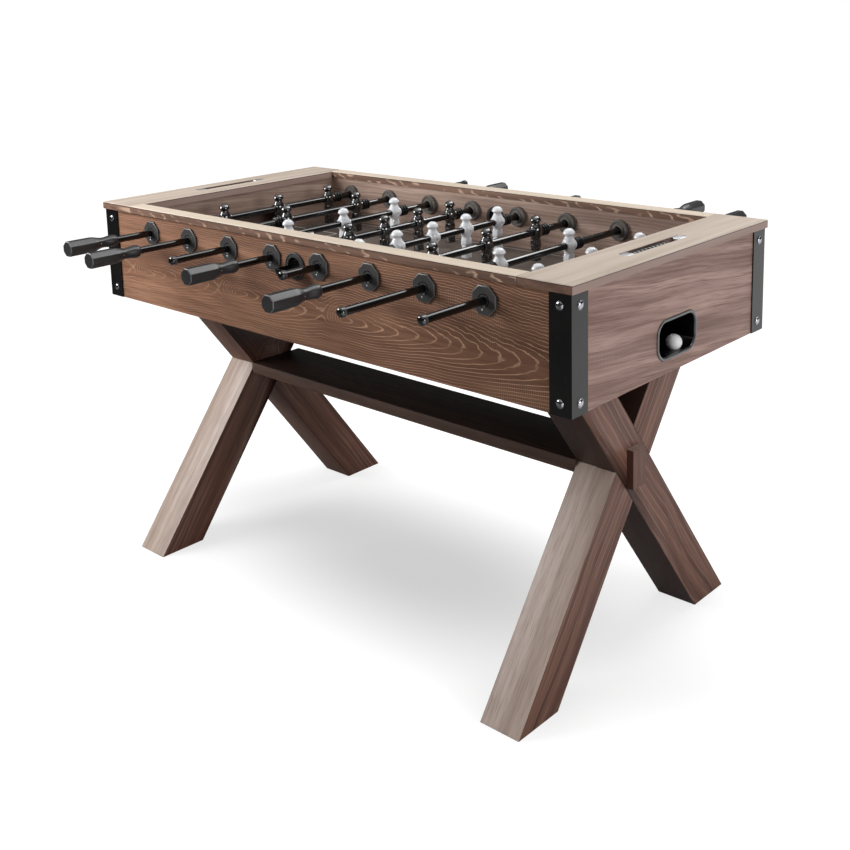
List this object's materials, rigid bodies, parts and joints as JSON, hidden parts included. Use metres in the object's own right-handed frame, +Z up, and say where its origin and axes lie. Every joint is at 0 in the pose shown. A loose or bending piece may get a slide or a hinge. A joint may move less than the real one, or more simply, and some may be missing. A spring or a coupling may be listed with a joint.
{
  "type": "foosball table",
  "caption": "Foosball table on crossed legs: wood-grain cabinet with player rods that slide and turn, serve cups, ball pockets and sliding bead scorers.",
  "frame": {"origin": "on the floor, under the middle of the table", "axes": "+X along the table towards the right end, +Y across it towards the back, +Z up"},
  "size_m": [1.422, 1.284, 0.88],
  "materials": {
    "panel_wood": "grey-brown wood-grain laminate, satin",
    "top_wood": "paler grey-brown wood-grain laminate, satin",
    "leg_wood": "grey-brown wood grain, satin",
    "inner_board": "black-faced board, matt",
    "field_board": "dark taupe printed board with white lines, satin",
    "black_metal": "black powder coat",
    "bright_steel": "bright zinc",
    "bearing_plastic": "black moulded nylon",
    "pocket_plastic": "black moulded plastic",
    "handle_plastic": "black moulded grip, soft sheen",
    "black_men": "gloss black",
    "white_men": "gloss white",
    "bumper_rubber": "black rubber",
    "bead_plastic": "grey",
    "ball_plastic": "off-white"
  },
  "bodies": {
    "cabinet": {"front_side_panel": "panel_wood", "back_side_panel": "panel_wood", "left_end_panel": "panel_wood", "right_end_panel": "panel_wood", "goal_walls": "panel_wood", "side_rails": "top_wood", "left_end_top": "top_wood", "right_end_top": "top_wood", "left_front_foot_leg": "leg_wood", "left_back_foot_leg": "leg_wood", "right_front_foot_leg": "leg_wood", "right_back_foot_leg": "leg_wood", "stretcher": "leg_wood", "bottom_panel": "inner_board", "leg_cleats": "inner_board", "playfield": "field_board", "corner_angles": "black_metal", "corner_screws": "bright_steel", "leg_bolts": "bright_steel", "scorer_wires": "bright_steel", "bearing_housings": "bearing_plastic", "bearing_nuts": "bearing_plastic", "serve_cups": "bearing_plastic", "ball_pockets": "pocket_plastic", "ball_chutes": "pocket_plastic"},
    "rod_1_carrier": {"bumpers_1": "bumper_rubber"},
    "rod_1": {"rod_1": "black_metal", "men_1": "black_men", "handle_1": "handle_plastic"},
    "rod_2_carrier": {"bumpers_2": "bumper_rubber"},
    "rod_2": {"rod_2": "black_metal", "men_2": "black_men", "handle_2": "handle_plastic"},
    "rod_3_carrier": {"bumpers_3": "bumper_rubber"},
    "rod_3": {"rod_3": "black_metal", "men_3": "white_men", "handle_3": "handle_plastic"},
    "rod_4_carrier": {"bumpers_4": "bumper_rubber"},
    "rod_4": {"rod_4": "black_metal", "men_4": "black_men", "handle_4": "handle_plastic"},
    "rod_5_carrier": {"bumpers_5": "bumper_rubber"},
    "rod_5": {"rod_5": "black_metal", "men_5": "white_men", "handle_5": "handle_plastic"},
    "rod_6_carrier": {"bumpers_6": "bumper_rubber"},
    "rod_6": {"rod_6": "black_metal", "men_6": "black_men", "handle_6": "handle_plastic"},
    "rod_7_carrier": {"bumpers_7": "bumper_rubber"},
    "rod_7": {"rod_7": "black_metal", "men_7": "white_men", "handle_7": "handle_plastic"},
    "rod_8_carrier": {"bumpers_8": "bumper_rubber"},
    "rod_8": {"rod_8": "black_metal", "men_8": "white_men", "handle_8": "handle_plastic"},
    "left_score": {"left_score_beads": "bead_plastic"},
    "right_score": {"right_score_beads": "bead_plastic"},
    "ball": {"ball": "ball_plastic"}
  },
  "joints": [
    {"name": "rod_1_push", "type": "slide", "parent": "cabinet", "child": "rod_1_carrier", "axis": [0, 1, 0], "range_m": [-0.134, 0.038]},
    {"name": "rod_1_spin", "type": "hinge", "parent": "rod_1_carrier", "child": "rod_1", "pos_m": [-0.5152, 0, 0.8225], "axis": [0, 1, 0], "continuous": true},
    {"name": "rod_2_push", "type": "slide", "parent": "cabinet", "child": "rod_2_carrier", "axis": [0, 1, 0], "range_m": [-0.212, 0.074]},
    {"name": "rod_2_spin", "type": "hinge", "parent": "rod_2_carrier", "child": "rod_2", "pos_m": [-0.368, 0, 0.8225], "axis": [0, 1, 0], "continuous": true},
    {"name": "rod_3_push", "type": "slide", "parent": "cabinet", "child": "rod_3_carrier", "axis": [0, 1, 0], "range_m": [-0.09, 0.082]},
    {"name": "rod_3_spin", "type": "hinge", "parent": "rod_3_carrier", "child": "rod_3", "pos_m": [-0.2208, 0, 0.8225], "axis": [0, 1, 0], "continuous": true},
    {"name": "rod_4_push", "type": "slide", "parent": "cabinet", "child": "rod_4_carrier", "axis": [0, 1, 0], "range_m": [-0.027, 0.035]},
    {"name": "rod_4_spin", "type": "hinge", "parent": "rod_4_carrier", "child": "rod_4", "pos_m": [-0.0736, 0, 0.8225], "axis": [0, 1, 0], "continuous": true},
    {"name": "rod_5_push", "type": "slide", "parent": "cabinet", "child": "rod_5_carrier", "axis": [0, 1, 0], "range_m": [-0.033, 0.029]},
    {"name": "rod_5_spin", "type": "hinge", "parent": "rod_5_carrier", "child": "rod_5", "pos_m": [0.0736, 0, 0.8225], "axis": [0, 1, 0], "continuous": true},
    {"name": "rod_6_push", "type": "slide", "parent": "cabinet", "child": "rod_6_carrier", "axis": [0, 1, 0], "range_m": [-0.101, 0.071]},
    {"name": "rod_6_spin", "type": "hinge", "parent": "rod_6_carrier", "child": "rod_6", "pos_m": [0.2208, 0, 0.8225], "axis": [0, 1, 0], "continuous": true},
    {"name": "rod_7_push", "type": "slide", "parent": "cabinet", "child": "rod_7_carrier", "axis": [0, 1, 0], "range_m": [-0.14, 0.146]},
    {"name": "rod_7_spin", "type": "hinge", "parent": "rod_7_carrier", "child": "rod_7", "pos_m": [0.368, 0, 0.8225], "axis": [0, 1, 0], "continuous": true},
    {"name": "rod_8_push", "type": "slide", "parent": "cabinet", "child": "rod_8_carrier", "axis": [0, 1, 0], "range_m": [-0.075, 0.097]},
    {"name": "rod_8_spin", "type": "hinge", "parent": "rod_8_carrier", "child": "rod_8", "pos_m": [0.5152, 0, 0.8225], "axis": [0, 1, 0], "continuous": true},
    {"name": "left_score_slide", "type": "slide", "parent": "cabinet", "child": "left_score", "axis": [0, 1, 0], "range_m": [0, 0.0355]},
    {"name": "right_score_slide", "type": "slide", "parent": "cabinet", "child": "right_score", "axis": [0, 1, 0], "range_m": [0, 0.0355]},
    {"name": "ball_roll", "type": "slide", "parent": "cabinet", "child": "ball", "axis": [1, 0, 0], "range_m": [-0.046, 0]}
  ]
}
